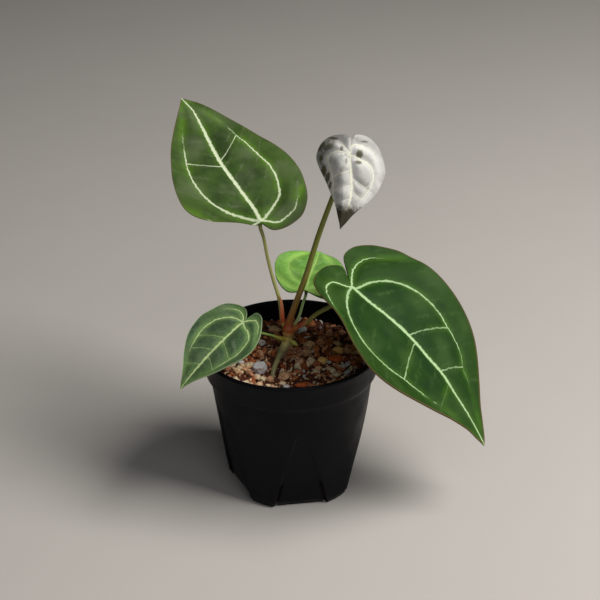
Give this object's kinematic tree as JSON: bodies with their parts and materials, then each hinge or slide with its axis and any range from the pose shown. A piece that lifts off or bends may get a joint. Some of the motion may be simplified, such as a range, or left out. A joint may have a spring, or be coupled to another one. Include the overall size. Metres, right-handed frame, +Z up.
{
  "type": "potted anthurium hybrid",
  "caption": "Young velvet-leaf anthurium hybrid with pale-veined heart-shaped blades on slender stalks, growing in a chunky bark mix in a black tapered nursery pot.",
  "frame": {"origin": "middle of the pot's underside, on the surface that it stands on", "axes": "+Z up; -Y is the front that the picture looks at, where one flat of the pot faces; +X to the viewer's right"},
  "size_m": [0.1501, 0.1342, 0.1865],
  "materials": {
    "pot_plastic": "black moulded plastic, satin, faint scuffs",
    "bark_mix": "moist red-brown bark and fibre",
    "pumice": "matt grey-white pumice and perlite, pitted",
    "clay": "matt orange-tan fired clay",
    "bark_orange": "rough orange-brown bark",
    "bark_pale": "rough pale tan bark",
    "stem": "smooth living stem, orange-brown above and pale yellow-green below",
    "root": "matt olive-grey root skin",
    "sheath": "thin papery reddish-brown sheath",
    "leaf_stalk": "smooth satin olive to yellow-green stalk",
    "velvet_leaf": "dark green velvet leaf with pale raised veins, paler underside",
    "young_leaf": "silvery new leaf with soft puckers and olive shadows",
    "fresh_leaf": "satin mid-green leaf with a fine pale net of veins"
  },
  "bodies": {
    "root": {"nursery_pot": "pot_plastic", "growing_mix": "bark_mix", "pumice_ball": "pumice", "pumice_2": "pumice", "pumice_3": "pumice", "pumice_4": "pumice", "pumice_5": "pumice", "pumice_6": "pumice", "pumice_7": "pumice", "clay_block": "clay", "clay_ball": "clay", "bark_long": "bark_orange", "bark_flat": "bark_orange", "bark_left": "bark_orange", "bark_pink": "bark_pale", "bark_beige": "bark_pale", "bark_tan": "bark_pale", "bark_cream_1": "bark_pale", "bark_cream_2": "bark_pale", "bark_back": "bark_pale", "stem": "stem", "side_bud": "stem", "aerial_root": "root", "cataphyll_1": "sheath", "cataphyll_2": "sheath", "petiole_1": "leaf_stalk", "petiole_2": "leaf_stalk", "petiole_3": "leaf_stalk", "petiole_4": "leaf_stalk", "petiole_5": "leaf_stalk", "blade_1": "velvet_leaf", "blade_2": "young_leaf", "blade_3": "velvet_leaf", "blade_4": "fresh_leaf", "blade_5": "fresh_leaf"}
  },
  "joints": []
}
